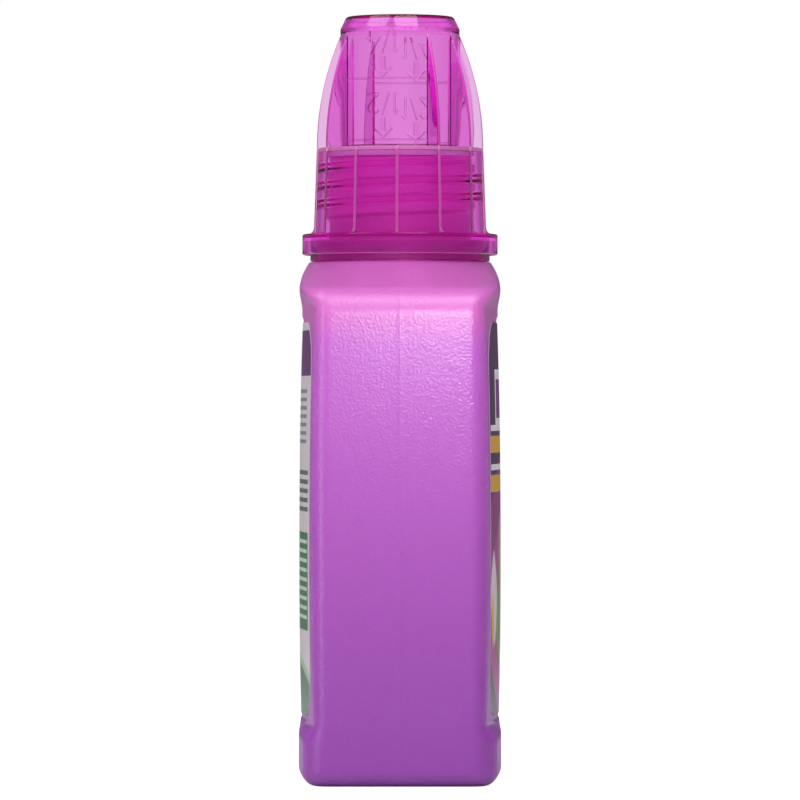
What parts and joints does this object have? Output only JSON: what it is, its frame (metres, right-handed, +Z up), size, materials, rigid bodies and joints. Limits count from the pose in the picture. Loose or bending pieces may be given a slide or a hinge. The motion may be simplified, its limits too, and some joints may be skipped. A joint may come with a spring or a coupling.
{
  "type": "liquid fertilizer bottle",
  "caption": "Oblong blow-moulded bottle of liquid plant feed with a clear screw-on measuring cap, finned cup, ribbed skirt and two recessed label panels.",
  "frame": {"origin": "centre of the base, on the surface that the bottle stands on", "axes": "+Z up the neck, X along the wide side, -Y out of the front label and +Y out of the back label"},
  "size_m": [0.118, 0.0632, 0.2372],
  "materials": {
    "bottle_plastic": "blow-moulded polyethylene, fine-grained and slightly translucent",
    "liquid": "coloured watery liquid",
    "front_label": "printed film",
    "back_label": "printed film",
    "ring_foam": "closed-cell foam",
    "clear_cap": "clear tinted polypropylene, polished"
  },
  "bodies": {
    "bottle": {"bottle": "bottle_plastic", "liquid": "liquid", "front_label": "front_label", "back_label": "back_label"},
    "ring": {"sealing_ring": "ring_foam"},
    "cap": {"measuring_cap": "clear_cap"}
  },
  "joints": [
    {"name": "cap_lift", "type": "slide", "parent": "bottle", "child": "ring", "axis": [0, 0, 1], "range_m": [0, 0.0183]},
    {"name": "cap_turn", "type": "hinge", "parent": "ring", "child": "cap", "pos_m": [0, 0, 0.18], "axis": [0, 0, 1], "range_deg": [0, 1170]}
  ],
  "couplings": [
    {"joint": "cap_lift", "follows": "cap_turn", "m_per_rad": 0.00089127}
  ]
}
